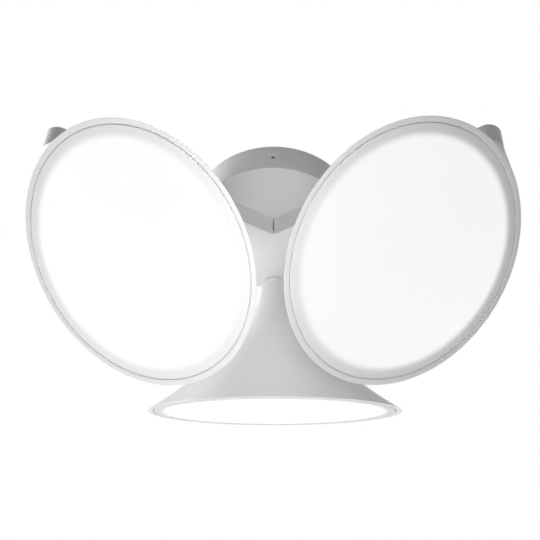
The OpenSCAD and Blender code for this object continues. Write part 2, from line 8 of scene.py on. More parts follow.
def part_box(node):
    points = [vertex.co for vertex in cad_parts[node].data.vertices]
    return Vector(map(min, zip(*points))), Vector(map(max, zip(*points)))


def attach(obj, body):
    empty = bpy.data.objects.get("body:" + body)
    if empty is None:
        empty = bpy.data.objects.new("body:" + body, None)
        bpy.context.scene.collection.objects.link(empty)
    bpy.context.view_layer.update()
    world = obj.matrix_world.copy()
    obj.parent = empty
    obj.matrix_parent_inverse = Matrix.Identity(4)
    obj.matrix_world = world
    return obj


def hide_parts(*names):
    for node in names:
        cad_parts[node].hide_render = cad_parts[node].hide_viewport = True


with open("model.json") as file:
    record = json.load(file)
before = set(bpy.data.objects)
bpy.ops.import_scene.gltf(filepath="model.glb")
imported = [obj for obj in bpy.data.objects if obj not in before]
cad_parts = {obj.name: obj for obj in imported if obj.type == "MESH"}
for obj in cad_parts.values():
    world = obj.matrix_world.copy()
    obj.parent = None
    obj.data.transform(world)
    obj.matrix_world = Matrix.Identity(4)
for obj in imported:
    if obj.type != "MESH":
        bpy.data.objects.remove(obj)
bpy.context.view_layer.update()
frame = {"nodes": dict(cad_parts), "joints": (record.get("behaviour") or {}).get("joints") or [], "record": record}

# A ceiling light: a round rose, a frame of three arms and, under each arm, a turning lamp head.
# Pieces are modelled in millimetres, as they are drawn, and brought to metres when they are finished.

perMetre = 1000                  # millimetres
rimTilt = math.radians(35)       # slope of the lighting faces
# between the arms, where the rose's screws are
gapAngles = [math.radians(angle) for angle in (-90, 30, 150)]


def boxOf(node):
    low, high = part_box(node)
    return Vector(low) * perMetre, Vector(high) * perMetre


headPlaces = {}
for joint in frame["joints"]:
    spot = Vector(joint["pos_m"]) * perMetre
    headPlaces[joint["child"]] = {"angle": math.atan2(spot.y, spot.x), "reach": spot.xy.length}
armAngles = [place["angle"] for place in headPlaces.values()]
headReach = headPlaces["rear_head"]["reach"]
frameLow, frameHigh = boxOf("arm_frame")
roseLow, roseHigh = boxOf("ceiling_rose")


# Camera: the photograph's viewing angle, looking up at the underside of the frame

cameraSettings = {
    "lens": 87.45, "sensor": 36, "distance": 1213.1,          # millimetres
    "elevation": 47.587, "azimuth": -1.734, "roll": 1.08,     # degrees
    "aside": 3.4, "above": 22.25,                             # millimetres from the light's middle
}


def makeCamera(settings):
    rise = math.radians(settings["elevation"])
    roll = math.radians(settings["roll"])
    turn = Matrix.Rotation(math.radians(-settings["azimuth"]), 3, "Z")
    ahead = turn @ Vector((0, math.cos(rise), math.sin(rise)))
    level = turn @ Vector((1, 0, 0))
    upright = turn @ Vector((0, -math.sin(rise), math.cos(rise)))
    right = math.cos(roll) * level + math.sin(roll) * upright
    up = math.cos(roll) * upright - math.sin(roll) * level
    aim = Vector((0, 0, frameLow.z))
    eye = aim - settings["aside"] * right - settings["above"] * up - settings["distance"] * ahead
    bpy.ops.object.camera_add()
    camera = bpy.context.object
    camera.data.lens = settings["lens"]
    camera.data.sensor_width = settings["sensor"]
    camera.matrix_world = Matrix((
        (right.x, up.x, -ahead.x, eye.x / perMetre),
        (right.y, up.y, -ahead.y, eye.y / perMetre),
        (right.z, up.z, -ahead.z, eye.z / perMetre),
        (0, 0, 0, 1),
    ))
    bpy.context.scene.camera = camera
    bpy.context.scene.view_settings.view_transform = "Standard"


makeCamera(cameraSettings)
print("camera placed")


# Modelling helpers

beyond = 1                       # how far a cutter or a boss reaches past the face that it meets
overlap = 0.1                    # how far pieces that are joined reach into each other
holeSides = 48                   # corners round a hole, a sink or a boss
roundOver = math.radians(60)     # edges that turn by more than this are rounded
smoothUnder = math.radians(32)   # edges that turn by less than this are shaded smooth
sideways = Matrix.Rotation(math.pi / 2, 4, "Y")     # lays an upright piece along X


def deselectAll():
    if bpy.context.object and bpy.context.object.mode != "OBJECT":
        bpy.ops.object.mode_set(mode="OBJECT")
    bpy.ops.object.select_all(action="DESELECT")


def makeActive(piece):
    deselectAll()
    piece.select_set(True)
    bpy.context.view_layer.objects.active = piece


def added(name):
    piece = bpy.context.object
    piece.name = name
    piece.data.name = name
    return piece


def cylinder(name, radius, low, high, sides=64, at=(0, 0), topRadius=None):
    deselectAll()
    top = radius if topRadius is None else topRadius
    bpy.ops.mesh.primitive_cone_add(
        vertices=sides, radius1=radius, radius2=top, depth=high - low,
        location=(at[0], at[1], (low + high) / 2))
    bpy.ops.object.transform_apply()
    return added(name)


def slab(name, outline, low, high):
    # a circle with as many corners as the outline is laid along it, then drawn up into a slab
    deselectAll()
    bpy.ops.mesh.primitive_circle_add(vertices=len(outline), radius=1, fill_type="NGON")
    piece = added(name)
    for vertex, point in zip(piece.data.vertices, outline):
        vertex.co = (point[0], point[1], low)
    bpy.ops.object.mode_set(mode="EDIT")
    bpy.ops.mesh.select_all(action="SELECT")
    bpy.ops.mesh.extrude_region_move(TRANSFORM_OT_translate={"value": (0, 0, high - low)})
    bpy.ops.mesh.select_all(action="SELECT")
    bpy.ops.mesh.normals_make_consistent(inside=False)
    bpy.ops.object.mode_set(mode="OBJECT")
    return piece


def turned(piece, angle):
    piece.data.transform(Matrix.Rotation(angle, 4, "Z"))
    return piece


def copied(piece, name):
    twin = piece.copy()
    twin.data = piece.data.copy()
    twin.name = name
    twin.data.name = name
    bpy.context.collection.objects.link(twin)
    return twin


def joined(pieces):
    deselectAll()
    for piece in pieces:
        piece.select_set(True)
    bpy.context.view_layer.objects.active = pieces[0]
    if len(pieces) > 1:
        bpy.ops.object.join()
    return pieces[0]


def combine(piece, cutters, operation):
    # the cutters become one mesh first, so that one boolean does the whole job
    cutter = joined(cutters)
    makeActive(piece)
    bpy.ops.object.modifier_add(type="BOOLEAN")
    modifier = piece.modifiers[-1]
    modifier.object = cutter
    modifier.operation = operation
    modifier.solver = "EXACT"
    modifier.use_self = True
    bpy.ops.object.modifier_apply(modifier=modifier.name)
    bpy.data.objects.remove(cutter)


def roundEdges(piece, width, steps):
    makeActive(piece)
    bpy.ops.object.modifier_add(type="BEVEL")
    modifier = piece.modifiers[-1]
    modifier.width = width
    modifier.segments = steps
    modifier.limit_method = "ANGLE"
    modifier.angle_limit = roundOver
    modifier.harden_normals = False
    bpy.ops.object.modifier_apply(modifier=modifier.name)


def smooth(piece):
    makeActive(piece)
    bpy.ops.object.shade_smooth_by_angle(angle=smoothUnder)


def finished(piece, body, nodes, material, place=Matrix.Identity(4)):
    # sets the piece in its place in metres, gives it its body and its look, and hides the CAD nodes that it stands
    # for
    piece.data.transform(Matrix.Scale(1 / perMetre, 4) @ place)
    smooth(piece)
    piece.data.materials.clear()
    piece.data.materials.append(material)
    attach(piece, body)
    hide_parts(*nodes)
    return piece


def headPlace(head):
    place = headPlaces[head]
    stand = Matrix.Translation((place["reach"], 0, frameLow.z))
    return Matrix.Rotation(place["angle"], 4, "Z") @ stand


def onEachHead(pattern, name, node, material, place=Matrix.Identity(4)):
    # name and node are what the piece and the CAD node have in place of _head in the body's name
    for head in headPlaces:
        finished(
            copied(pattern, head.replace("_head", name)), head, [head.replace("_head", node)],
            material, headPlace(head) @ place)
    bpy.data.objects.remove(pattern)


def onEachArm(make):
    return [turned(make(), angle) for angle in armAngles]


# Materials. A noise stays near its middle value, so ramps run over that part of it.

noiseSettings = {
    "cloudDetail": 3.0, "grainDetail": 4.0, "hazeDetail": 2.0, "tones": (0.35, 0.65), "gloss": (0.3, 0.7),
}


def linear(colour):
    # an sRGB hex colour as the linear values that the nodes take
    channels = [int(colour[i:i + 2], 16) / 255 for i in (1, 3, 5)]
    return [c / 12.92 if c <= 0.04045 else ((c + 0.055) / 1.055) ** 2.4 for c in channels] + [1]


def addNode(tree, kind, settings=None, links=None):
    node = tree.nodes.new(kind)
    for key, value in (settings or {}).items():
        if isinstance(key, int) or key in node.inputs:
            node.inputs[key].default_value = value
        else:
            setattr(node, key, value)
    for socket, source in (links or {}).items():
        tree.links.new(source, node.inputs[socket])
    return node


def newMaterial(name):
    material = bpy.data.materials.new(name)
    material.use_nodes = True
    tree = material.node_tree
    tree.nodes.clear()
    return material, tree


def objectCoords(tree):
    return addNode(tree, "ShaderNodeTexCoord").outputs["Object"]


def patternScale(size):
    # size is that of the pattern's features, in millimetres
    return perMetre / size


def rampOf(tree, factor, stops):
    # a stop's colour is a list of four values, or one number for a grey
    ramp = addNode(tree, "ShaderNodeValToRGB", links={"Fac": factor})
    while len(ramp.color_ramp.elements) < len(stops):
        ramp.color_ramp.elements.new(0.5)
    for element, (position, colour) in zip(ramp.color_ramp.elements, stops):
        element.position = position
        element.color = colour if isinstance(colour, list) else [colour, colour, colour, 1]
    return ramp.outputs["Color"]


def tonesOf(tree, noise, settings):
    shadeAt, colourAt = noiseSettings["tones"]
    return rampOf(tree, noise.outputs["Fac"], [
        (shadeAt, linear(settings["shade"])), (colourAt, linear(settings["colour"]))])


def surfaceOut(tree, shader):
    addNode(tree, "ShaderNodeOutputMaterial", links={"Surface": shader.outputs["BSDF"]})


def plainFinish(name, finish):
    # clouds of tone, a grain that changes the gloss, and the same grain as relief
    material, tree = newMaterial(name)
    stretched = addNode(
        tree, "ShaderNodeMapping", {"Scale": finish.get("stretch", (1, 1, 1))}, {"Vector": objectCoords(tree)})
    cloud = addNode(
        tree, "ShaderNodeTexNoise",
        {"Scale": patternScale(finish["cloud"]), "Detail": noiseSettings["cloudDetail"]},
        {"Vector": stretched.outputs["Vector"]})
    grain = addNode(
        tree, "ShaderNodeTexNoise",
        {"Scale": patternScale(finish["grain"]), "Detail": noiseSettings["grainDetail"]},
        {"Vector": stretched.outputs["Vector"]})
    tone = tonesOf(tree, cloud, finish)
    glossFrom, glossTo = noiseSettings["gloss"]
    smoothest, roughest = finish["roughness"]
    gloss = addNode(
        tree, "ShaderNodeMapRange",
        {"From Min": glossFrom, "From Max": glossTo, "To Min": smoothest, "To Max": roughest},
        {"Value": grain.outputs["Fac"]})
    relief = addNode(
        tree, "ShaderNodeBump", {"Strength": 1.0, "Distance": finish["relief"] / perMetre},
        {"Height": grain.outputs["Fac"]})
    shader = addNode(
        tree, "ShaderNodeBsdfPrincipled",
        {"Metallic": finish.get("metallic", 0.0), "IOR": finish.get("ior", 1.5)},
        {"Base Color": tone, "Roughness": gloss.outputs["Result"], "Normal": relief.outputs["Normal"]})
    surfaceOut(tree, shader)
    return material


# Powder coat on steel: satin white with the fine peel that the powder leaves as it flows
powderCoat = plainFinish("white_powder_coat", {
    "colour": "#eeeeee", "shade": "#ebebeb", "cloud": 60, "grain": 1.6, "relief": 0.012,
    "roughness": (0.4, 0.5), "ior": 1.45})

# Lacquer sprayed on moulded ABS: the same white, flatter and a little glossier
lacqueredAbs = plainFinish("white_lacquered_abs", {
    "colour": "#efefef", "shade": "#ececec", "cloud": 80, "grain": 2.6, "relief": 0.008,
    "roughness": (0.36, 0.44), "ior": 1.45})

# Zinc plate on steel sheet: pale grey with soft cloudy patches
zincPlate = plainFinish("zinc_plated_steel", {
    "colour": "#c3c7cb", "shade": "#aeb3b8", "cloud": 9, "grain": 0.5, "relief": 0.01,
    "roughness": (0.28, 0.44), "metallic": 1.0})

# Machined and zinc-plated screw steel: even grey, finely turned
screwSteel = plainFinish("machined_screw_steel", {
    "colour": "#b4b7ba", "shade": "#9a9ea2", "cloud": 2.5, "grain": 0.3, "relief": 0.006,
    "roughness": (0.22, 0.36), "metallic": 1.0})

# Rolled spring steel: rolling lines along the strip
springSteel = plainFinish("rolled_spring_steel", {
    "colour": "#c6c8ca", "shade": "#a4a7aa", "cloud": 3, "grain": 0.4, "relief": 0.004,
    "stretch": (0.15, 1, 1), "roughness": (0.2, 0.34), "metallic": 1.0})

# Turned brass: warm yellow, dulled a little in patches
turnedBrass = plainFinish("turned_brass", {
    "colour": "#d2b06a", "shade": "#b08c49", "cloud": 3, "grain": 0.35, "relief": 0.005,
    "roughness": (0.24, 0.4), "metallic": 1.0})

# Mill-finish aluminium sheet: bright, with fine lines from rolling
rolledAluminium = plainFinish("rolled_aluminium_sheet", {
    "colour": "#d6d8da", "shade": "#bfc2c5", "cloud": 14, "grain": 0.6, "relief": 0.004,
    "stretch": (0.08, 1, 1), "roughness": (0.26, 0.4), "metallic": 1.0})

# Moulded EPDM rubber: near black and matt, with a dusty bloom
epdmRubber = plainFinish("moulded_epdm_rubber", {
    "colour": "#34353a", "shade": "#222327", "cloud": 3, "grain": 0.4, "relief": 0.02,
    "roughness": (0.7, 0.86)})

# Natural nylon: warm white and a little waxy
naturalNylon = plainFinish("natural_nylon", {
    "colour": "#e8e5dc", "shade": "#ddd9cd", "cloud": 5, "grain": 0.8, "relief": 0.006,
    "roughness": (0.42, 0.55)})

# Textured polycarbonate of the driver's case: spark-eroded grain
texturedCase = plainFinish("textured_polycarbonate", {
    "colour": "#e9e9e7", "shade": "#e1e1df", "cloud": 12, "grain": 0.5, "relief": 0.03,
    "roughness": (0.5, 0.62)})

# Silicone sleeving over the leads: soft white with a slight sheen
siliconeSleeve = plainFinish("silicone_sleeving", {
    "colour": "#e3e3e0", "shade": "#d6d6d2", "cloud": 4, "grain": 0.7, "relief": 0.006,
    "roughness": (0.35, 0.5)})


# Glass-fibre circuit board: green mask with paler copper tracks under it

boardSettings = {
    "mask": "#1f6a45", "track": "#3a8a5d", "spacing": 2.4, "trackWidth": 0.14, "trackEdge": 0.03,
    "relief": 0.03, "reliefStrength": 0.6, "roughness": 0.32,
}


def circuitBoard(settings):
    material, tree = newMaterial("green_circuit_board")
    cells = addNode(
        tree, "ShaderNodeTexVoronoi",
        {"distance": "MANHATTAN", "feature": "DISTANCE_TO_EDGE", "Scale": patternScale(settings["spacing"])},
        {"Vector": objectCoords(tree)})
    tone = rampOf(tree, cells.outputs["Distance"], [
        (settings["trackWidth"], linear(settings["track"])),
        (settings["trackWidth"] + settings["trackEdge"], linear(settings["mask"]))])
    relief = addNode(
        tree, "ShaderNodeBump",
        {"Strength": settings["reliefStrength"], "Distance": settings["relief"] / perMetre, "invert": True},
        {"Height": cells.outputs["Distance"]})
    shader = addNode(
        tree, "ShaderNodeBsdfPrincipled", {"Roughness": settings["roughness"]},
        {"Base Color": tone, "Normal": relief.outputs["Normal"]})
    surfaceOut(tree, shader)
    return material


# White solder mask of the LED boards: bright and satin, with faint tracks

whiteMask = plainFinish("white_solder_mask", {
    "colour": "#f1f1ee", "shade": "#e6e6e2", "cloud": 4, "grain": 0.9, "relief": 0.008,
    "roughness": (0.3, 0.42)})

# Phosphor of the LEDs: yellow gel, a little uneven
ledGel = plainFinish("led_phosphor_gel", {
    "colour": "#f2d964", "shade": "#e3bf3c", "cloud": 1.2, "grain": 0.4, "relief": 0.01,
    "roughness": (0.28, 0.4)})


# Opal acrylic: milky white sheet, lit from behind by the board. The board is smaller than the sheet,
# so the glow fades out before it reaches the groove. Where it glows, it sends back less of the room's light.

opalSettings = {
    "border": "#efefef", "colour": "#727272", "shade": "#6e6e6e", "warmth": "#fefefe", "glow": 0.79,
    "fadeFrom": 0.885, "fadeTo": 0.958,     # shares of the sheet's radius
    "roughness": 0.5, "cloud": 40,
}


def opalAcrylic(settings):
    material, tree = newMaterial("opal_acrylic")
    reach = addNode(tree, "ShaderNodeAttribute", {"attribute_name": "reach"}).outputs["Fac"]
    lit = addNode(
        tree, "ShaderNodeMapRange",
        {"interpolation_type": "SMOOTHSTEP", "From Min": settings["fadeTo"], "From Max": settings["fadeFrom"]},
        {"Value": reach})
    haze = addNode(
        tree, "ShaderNodeTexNoise",
        {"Scale": patternScale(settings["cloud"]), "Detail": noiseSettings["hazeDetail"]},
        {"Vector": objectCoords(tree)})
    sheet = tonesOf(tree, haze, settings)
    tone = addNode(
        tree, "ShaderNodeMix", {"data_type": "RGBA", 6: linear(settings["border"])},
        {0: lit.outputs["Result"], 7: sheet}).outputs[2]
    glow = rampOf(tree, lit.outputs["Result"], [(0.0, 0.0), (1.0, linear(settings["warmth"]))])
    shader = addNode(
        tree, "ShaderNodeBsdfPrincipled",
        {"Roughness": settings["roughness"], "Emission Strength": settings["glow"]},
        {"Base Color": tone, "Emission Color": glow})
    surfaceOut(tree, shader)
    return material


greenBoard = circuitBoard(boardSettings)
opal = opalAcrylic(opalSettings)
print("materials made")


# Shapes laid ring by ring

def softCorner(before, corner, after, steps=4):
    # a quarter of a curve from before to after that leans towards the corner
    points = []
    for step in range(steps + 1):
        t = step / steps
        points.append((1 - t) ** 2 * before + 2 * t * (1 - t) * corner + t ** 2 * after)
    return points


def ringShape(name, sides, sectionAt):
    # a torus has one small ring for each side, and each is laid along the section at its angle
    deselectAll()
    count = len(sectionAt(0))
    bpy.ops.mesh.primitive_torus_add(major_segments=sides, minor_segments=count, major_radius=2, minor_radius=1)
    piece = added(name)
    for side in range(sides):
        section = sectionAt(2 * math.pi * side / sides)
        for step, point in enumerate(section):
            piece.data.vertices[side * count + step].co = point
    bpy.ops.object.mode_set(mode="EDIT")
    bpy.ops.mesh.select_all(action="SELECT")
    bpy.ops.mesh.normals_make_consistent(inside=False)
    bpy.ops.object.mode_set(mode="OBJECT")
    return piece


def lathe(name, sides, corners):
    # corners are (radius, height, rounding), in order round the section
    flat = [Vector((radius, 0, height)) for radius, height, rounding in corners]
    section = []
    for i, (radius, height, rounding) in enumerate(corners):
        corner = flat[i]
        if rounding == 0:
            section.append(corner)
            continue
        before = corner + (flat[i - 1] - corner).normalized() * rounding
        after = corner + (flat[(i + 1) % len(flat)] - corner).normalized() * rounding
        section += softCorner(before, corner, after)
    return ringShape(
        name, sides, lambda angle: [Matrix.Rotation(angle, 3, "Z") @ point for point in section])


# Shade: the narrow top has the arm's outline, and the sides flare out to the round, tilted rim

shadeSettings = {
    "topHalf": 84, "topRadius": 12, "topThick": 3, "wall": 2.5, "gap": 0.8, "hole": 5,
    "faceRadius": 120, "back": 2, "drop": 87, "bend": 0.17, "seat": 114.6, "mouth": 114, "seatDepth": 2,
    "topEdge": 0.6, "rimEdge": 0.9, "rimEdgeBack": 0.8, "grooveEdge": 0.8, "grooveSteps": 3,
    "sides": 192, "rings": 44, "innerRings": 14, "halvings": 30,
}


def flare(share, bend):
    # 0 at the top and 1 at the rim: nearly straight, with a soft start that bend sets
    return ((share * share + bend * bend) ** 0.5 - bend) / ((1 + bend * bend) ** 0.5 - bend)


def facePoint(settings, angle, radius, depth):
    # a point of the tilted lighting face, or at a depth behind it
    across = radius * math.cos(angle)
    return Vector((
        across * math.cos(rimTilt) - depth * math.sin(rimTilt) - settings["back"],
        radius * math.sin(angle),
        across * math.sin(rimTilt) + depth * math.cos(rimTilt) - settings["drop"]))


def depthOf(settings, point):
    return (point.z + settings["drop"]) * math.cos(rimTilt) - (point.x + settings["back"]) * math.sin(rimTilt)


def wallPoint(settings, angle, share, topRadius, topHeight, rimRadius):
    # a point of the flank, at a share of the way from the long top's edge to the rim
    across = (settings["topHalf"] + topRadius) * math.cos(angle)
    past = max(0, abs(across) - settings["topHalf"])
    half = math.copysign(max(0, topRadius ** 2 - past ** 2) ** 0.5, math.sin(angle))
    rim = facePoint(settings, angle, rimRadius, 0)
    return Vector((
        across + (rim.x - across) * share,
        half + (rim.y - half) * flare(share, settings["bend"]),
        topHeight + (rim.z - topHeight) * share))


def shareAtDepth(settings, depth, pointAt):
    # where on its way down the flank comes within this depth of the lighting face
    low, high = 0, 1
    for halving in range(settings["halvings"]):
        middle = (low + high) / 2
        if depthOf(settings, pointAt(middle)) > depth:
            low = middle
        else:
            high = middle
    return low


def shadeSection(settings, angle):
    top = -settings["gap"]
    under = top - settings["topThick"]
    inner = settings["topRadius"] - settings["wall"]

    def outerAt(share, topRadius=settings["topRadius"]):
        return wallPoint(settings, angle, share, topRadius, top, settings["faceRadius"])

    def innerAt(share):
        return wallPoint(settings, angle, share, inner, under, settings["mouth"])

    def onFace(radius, depth=0):
        return facePoint(settings, angle, radius, depth)

    ringX, ringY = settings["hole"] * math.cos(angle), settings["hole"] * math.sin(angle)
    firstShare = settings["topEdge"] / settings["drop"]
    lastShare = shareAtDepth(settings, settings["rimEdge"] * settings["rimEdgeBack"], outerAt)
    innerShare = shareAtDepth(settings, settings["seatDepth"], innerAt)
    section = [Vector((ringX, ringY, under)), Vector((ringX, ringY, top))]
    section += softCorner(
        outerAt(0, settings["topRadius"] - settings["topEdge"]), outerAt(0), outerAt(firstShare))
    for ring in range(1, settings["rings"]):
        section.append(outerAt(firstShare + (lastShare - firstShare) * ring / settings["rings"]))
    rim, seat, edge = settings["faceRadius"], settings["seat"], settings["grooveEdge"]
    section += softCorner(outerAt(lastShare), onFace(rim), onFace(rim - settings["rimEdge"]))
    section += softCorner(onFace(seat + edge), onFace(seat), onFace(seat, edge), settings["grooveSteps"])
    section.append(onFace(seat, settings["seatDepth"]))
    for ring in range(settings["innerRings"] + 1):
        section.append(innerAt(innerShare * (1 - ring / settings["innerRings"])))
    return section


shadeShell = ringShape("shade_shell", shadeSettings["sides"], lambda angle: shadeSection(shadeSettings, angle))
onEachHead(shadeShell, "_shade_shell", "_shade", lacqueredAbs)
print("shades made")


# Diffuser: a thin disc with a soft front edge and a skirt behind it that the springs hold

diffuserSettings = {
    "radius": 113.6, "thick": 2, "edge": 0.5, "edgeSteps": 4, "skirtRadius": 99, "skirtWall": 2,
    "skirtHeight": 5, "skirtEdge": 0.4, "skirtSunk": 0.2, "sides": 192,
}


def facePlace(settings):
    return Matrix.Translation((-settings["back"], 0, -settings["drop"])) @ Matrix.Rotation(-rimTilt, 4, "Y")


def makeDiffuser(settings):
    deselectAll()
    bpy.ops.mesh.primitive_cylinder_add(
        vertices=settings["sides"], radius=settings["radius"], depth=settings["thick"], end_fill_type="TRIFAN",
        location=(0, 0, settings["thick"] / 2))
    bpy.ops.object.transform_apply()
    disc = added("diffuser_disc")
    roundEdges(disc, settings["edge"], settings["edgeSteps"])
    outer, base = settings["skirtRadius"], settings["thick"] - settings["skirtSunk"]
    inner, back = outer - settings["skirtWall"], settings["thick"] + settings["skirtHeight"]
    edge = settings["skirtEdge"]
    skirt = lathe("diffuser_skirt", settings["sides"], [
        (outer, base, 0), (outer, back, edge), (inner, back, edge), (inner, base, 0)])
    combine(disc, [skirt], "UNION")
    # how far out each point is, for the fading glow
    reach = disc.data.attributes.new("reach", "FLOAT", "POINT")
    for vertex in disc.data.vertices:
        reach.data[vertex.index].value = vertex.co.xy.length / settings["radius"]
    return disc


diffuserDisc = makeDiffuser(diffuserSettings)
onEachHead(diffuserDisc, "_opal_disc", "_diffuser", opal, facePlace(shadeSettings))
print("diffusers made")


# Frame: three channels in one piece, with round ends, small rounds in the inside corners and a slit in each

frameSettings = {
    "half": 12, "wall": 2, "floor": 4, "cornerRound": 4.5, "edge": 0.5, "edgeSteps": 3, "slit": 1.2,
    "slitRise": 4.4, "slitLength": 16, "slitFrom": 7.9, "endSteps": 28, "cornerSteps": 10, "boltReach": 30,
    "lidScrewReach": 200, "bossRadius": 4.5, "bossBelowTop": 2, "pivotHole": 5.03, "pinReach": 8.6,
    "pinHole": 1.02, "pinFoot": 1.5, "boltHole": 2.5, "boltDepth": 11, "lidScrewHole": 1.5, "lidScrewDepth": 8,
}


def armsOutline(half, reach, cornerRound, endSteps, cornerSteps):
    # once round the three arms, anticlockwise: a round end, then the inside corner that follows it
    cornerFrom, cornerSweep = 210, 60     # degrees, from the direction in which the inside corner points
    apex = half / math.sin(math.pi / 3)
    outline = []
    for angle in sorted(a % (2 * math.pi) for a in armAngles):
        along = Vector((math.cos(angle), math.sin(angle)))
        for step in range(endSteps + 1):
            swing = angle - math.pi / 2 + math.pi * step / endSteps
            outline.append(reach * along + half * Vector((math.cos(swing), math.sin(swing))))
        inward = angle + math.pi / 3
        middle = (apex + cornerRound / math.sin(math.pi / 3)) * Vector((math.cos(inward), math.sin(inward)))
        if cornerRound == 0:
            outline.append(middle)
            continue
        for step in range(cornerSteps + 1):
            swing = inward + math.radians(cornerFrom - cornerSweep * step / cornerSteps)
            outline.append(middle + cornerRound * Vector((math.cos(swing), math.sin(swing))))
    return outline


def makeFrame(settings):
    low, high = frameLow.z, frameHigh.z
    half, reach = settings["half"], frameHigh.y - settings["half"]
    channelFloor, lidUnder = low + settings["floor"], high - settings["bossBelowTop"]
    body = slab("arm_channels", armsOutline(
        half, reach, settings["cornerRound"], settings["endSteps"], settings["cornerSteps"]), low, high)
    roundEdges(body, settings["edge"], settings["edgeSteps"])
    channel = slab("channel", armsOutline(
        half - settings["wall"], reach, 0, settings["endSteps"], 0), channelFloor, high + beyond)
    combine(body, [channel], "DIFFERENCE")
    bosses = []
    for x in (settings["boltReach"], settings["lidScrewReach"]):
        bosses += onEachArm(lambda: cylinder(
            "boss", settings["bossRadius"], channelFloor - beyond, lidUnder, holeSides, (x, 0)))
    combine(body, bosses, "UNION")
    pinPlace, pinFoot = headReach - settings["pinReach"], low + settings["pinFoot"]
    holes = [
        (settings["pivotHole"], headReach, low - beyond, channelFloor + beyond),
        (settings["pinHole"], pinPlace, pinFoot, channelFloor + beyond),
        (settings["boltHole"], settings["boltReach"], lidUnder - settings["boltDepth"], high),
        (settings["lidScrewHole"], settings["lidScrewReach"], lidUnder - settings["lidScrewDepth"], high),
    ]
    cutters = []
    for radius, x, bottom, top in holes:
        cutters += onEachArm(lambda: cylinder("hole", radius, bottom, top, holeSides, (x, 0)))
    slitLow, slitHigh = low + settings["slitRise"], high + beyond
    slitMiddle = (settings["slitFrom"] + settings["slitLength"] / 2, 0, (slitLow + slitHigh) / 2)
    slitSize = (settings["slitLength"], settings["slit"], slitHigh - slitLow, 1)
    for angle in gapAngles:
        deselectAll()
        bpy.ops.mesh.primitive_cube_add(size=1)
        slit = added("slit")
        slit.data.transform(Matrix.Translation(slitMiddle) @ Matrix.Diagonal(slitSize))
        cutters.append(turned(slit, angle))
    combine(body, cutters, "DIFFERENCE")
    return body


finished(makeFrame(frameSettings), "base", ["arm_frame"], powderCoat)
print("frame made")


# Lid: a plate that closes the channels from above, held by three countersunk screws

lidSettings = {
    "half": 9.85, "thick": 2, "edge": 0.3, "edgeSteps": 2, "screwHole": 1.6, "sink": 3.4, "sinkDepth": 1.6,
    "sinkAbove": 0.2, "boltHole": 2.75, "nippleHole": 5.2,
}


def makeLid(settings):
    high = frameHigh.z
    low = high - settings["thick"]
    plate = slab("lid_plate", armsOutline(
        settings["half"], frameHigh.y - frameSettings["half"], 0, frameSettings["endSteps"], 0), low, high)
    roundEdges(plate, settings["edge"], settings["edgeSteps"])
    boltPlace, screwPlace = (frameSettings["boltReach"], 0), (frameSettings["lidScrewReach"], 0)
    cutters = [cylinder("hole", settings["nippleHole"], low - beyond, high + beyond)]
    for radius, place in ((settings["boltHole"], boltPlace), (settings["screwHole"], screwPlace)):
        cutters += onEachArm(lambda: cylinder("hole", radius, low - beyond, high + beyond, holeSides, place))
    combine(plate, cutters, "DIFFERENCE")
    sinks = onEachArm(lambda: cylinder(
        "sink", settings["screwHole"], high - settings["sinkDepth"], high + settings["sinkAbove"], holeSides,
        screwPlace, settings["sink"]))
    combine(plate, sinks, "DIFFERENCE")
    return plate


finished(makeLid(lidSettings), "base", ["frame_lid"], powderCoat)
print("lid made")


# Countersunk socket screws: three in the rose's side and three in the lid

roseScrewSettings = {
    "headRadius": 5, "shankRadius": 2.45, "headDepth": 2.55, "length": 12, "socket": 1.73, "socketDepth": 2.4,
    "edge": 0.35, "inset": 0.5, "bareFrom": 0.1, "bareTo": 4,
}
lidScrewSettings = {
    "headRadius": 3, "shankRadius": 1.45, "headDepth": 1.55, "length": 9, "socket": 1.15, "socketDepth": 1,
    "edge": 0.15, "inset": 0.05,
}


def countersunkScrew(name, settings):
    # its head's face is at height 0 and its shank points down
    edge, depth, length = settings["edge"], settings["headDepth"], settings["length"]
    body = cylinder(name, settings["shankRadius"], -depth, -edge, topRadius=settings["headRadius"])
    shank = cylinder("shank", settings["shankRadius"], -length, -depth + overlap)
    crown = cylinder("crown", settings["headRadius"], -edge, 0, topRadius=settings["headRadius"] - edge)
    combine(body, [shank], "UNION")
    combine(body, [crown], "UNION")
    socket = cylinder("socket", settings["socket"], -settings["socketDepth"], beyond, sides=6)
    combine(body, [socket], "DIFFERENCE")
    return body


def screwSet(name, settings, place, angles):
    # one screw is made and set in its place, and a copy is turned to each angle
    pattern = countersunkScrew(name, settings)
    pattern.data.transform(place)
    screws = [turned(copied(pattern, name), angle) for angle in angles]
    bpy.data.objects.remove(pattern)
    return joined(screws)


def makeRoseScrews(settings):
    middle = (roseLow.z + roseHigh.z) / 2
    place = Matrix.Translation((roseHigh.x - settings["inset"], 0, middle)) @ sideways
    return screwSet("rose_side_screws", settings, place, gapAngles)


def makeLidScrews(settings):
    place = Matrix.Translation((frameSettings["lidScrewReach"], 0, frameHigh.z - settings["inset"]))
    return screwSet("lid_top_screws", settings, place, armAngles)


def bareSockets(piece, settings, material):
    # the powder doesn't reach into the sockets, so their steel stays bare
    piece.data.materials.append(material)
    middle = Vector((0, 0, (roseLow.z + roseHigh.z) / 2))
    face = roseHigh.x - settings["inset"]
    for polygon in piece.data.polygons:
        centre = polygon.center * perMetre
        for angle in gapAngles:
            along = Vector((math.cos(angle), math.sin(angle), 0))
            reach = centre.dot(along)
            aside = (centre - reach * along - middle).length
            if aside < settings["socket"] and settings["bareFrom"] < face - reach < settings["bareTo"]:
                polygon.material_index = 1


